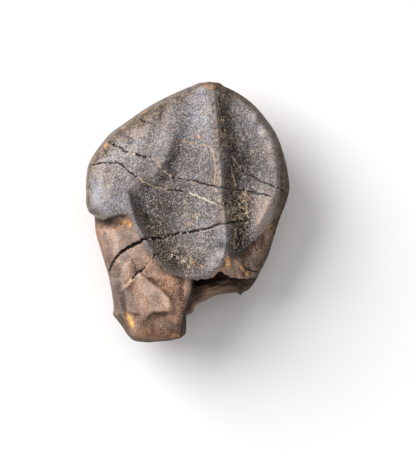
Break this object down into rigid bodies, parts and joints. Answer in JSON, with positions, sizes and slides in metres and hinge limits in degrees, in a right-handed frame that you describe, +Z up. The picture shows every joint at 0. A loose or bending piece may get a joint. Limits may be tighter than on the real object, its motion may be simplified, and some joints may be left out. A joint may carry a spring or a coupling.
{
  "type": "fossil tooth",
  "caption": "Fossil horned-dinosaur tooth with a ridged leaf-shaped crown, a scooped enamel face and a broken root prong.",
  "frame": {"origin": "centre of the outline seen from above, at the level of the flat worn patch that the tooth lies on", "axes": "+Y along the tooth from the broken root to the crown's tip, +Z up out of the enamel face"},
  "size_m": [0.028, 0.036, 0.0154],
  "materials": {
    "fossil": "satin dark enamel over matt brown dentine"
  },
  "bodies": {
    "root": {"tooth": "fossil"}
  },
  "joints": []
}
